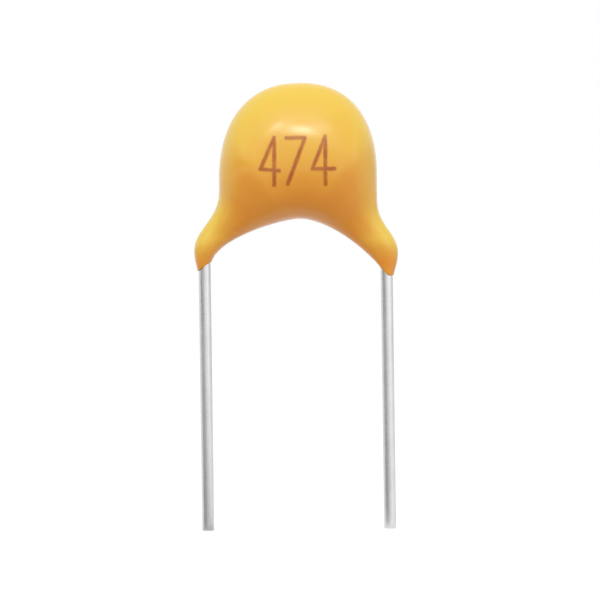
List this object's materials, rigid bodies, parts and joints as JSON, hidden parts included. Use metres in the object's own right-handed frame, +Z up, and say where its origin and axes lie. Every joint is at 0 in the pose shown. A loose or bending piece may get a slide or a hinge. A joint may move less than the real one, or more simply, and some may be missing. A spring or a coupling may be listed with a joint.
{
  "type": "multilayer ceramic capacitor",
  "caption": "Dipped radial ceramic capacitor: a chip with interleaved plates, soldered between tinned wires that are kinked inside a domed epoxy coating.",
  "frame": {"origin": "midway between the two leads, on the seating plane at the rims of the coating", "axes": "+Z up through the dome, leads along -Z; X through the two leads; the printed face looks along -Y"},
  "size_m": [0.0057, 0.0024, 0.0124],
  "materials": {
    "epoxy": "glossy dipped epoxy",
    "tinned_wire": "drawn and tinned, satin",
    "solder": "dull reflowed solder",
    "ceramic": "fired, matt",
    "termination": "plated, satin",
    "electrode": "fired nickel film"
  },
  "bodies": {
    "root": {"epoxy_coating": "epoxy", "ceramic_body": "ceramic", "termination_left": "termination", "termination_right": "termination", "solder_left": "solder", "solder_right": "solder", "lead_left": "tinned_wire", "lead_right": "tinned_wire", "electrode_left_01": "electrode", "electrode_left_02": "electrode", "electrode_left_03": "electrode", "electrode_left_04": "electrode", "electrode_left_05": "electrode", "electrode_left_06": "electrode", "electrode_left_07": "electrode", "electrode_left_08": "electrode", "electrode_left_09": "electrode", "electrode_left_10": "electrode", "electrode_right_01": "electrode", "electrode_right_02": "electrode", "electrode_right_03": "electrode", "electrode_right_04": "electrode", "electrode_right_05": "electrode", "electrode_right_06": "electrode", "electrode_right_07": "electrode", "electrode_right_08": "electrode", "electrode_right_09": "electrode", "electrode_right_10": "electrode"}
  },
  "joints": []
}
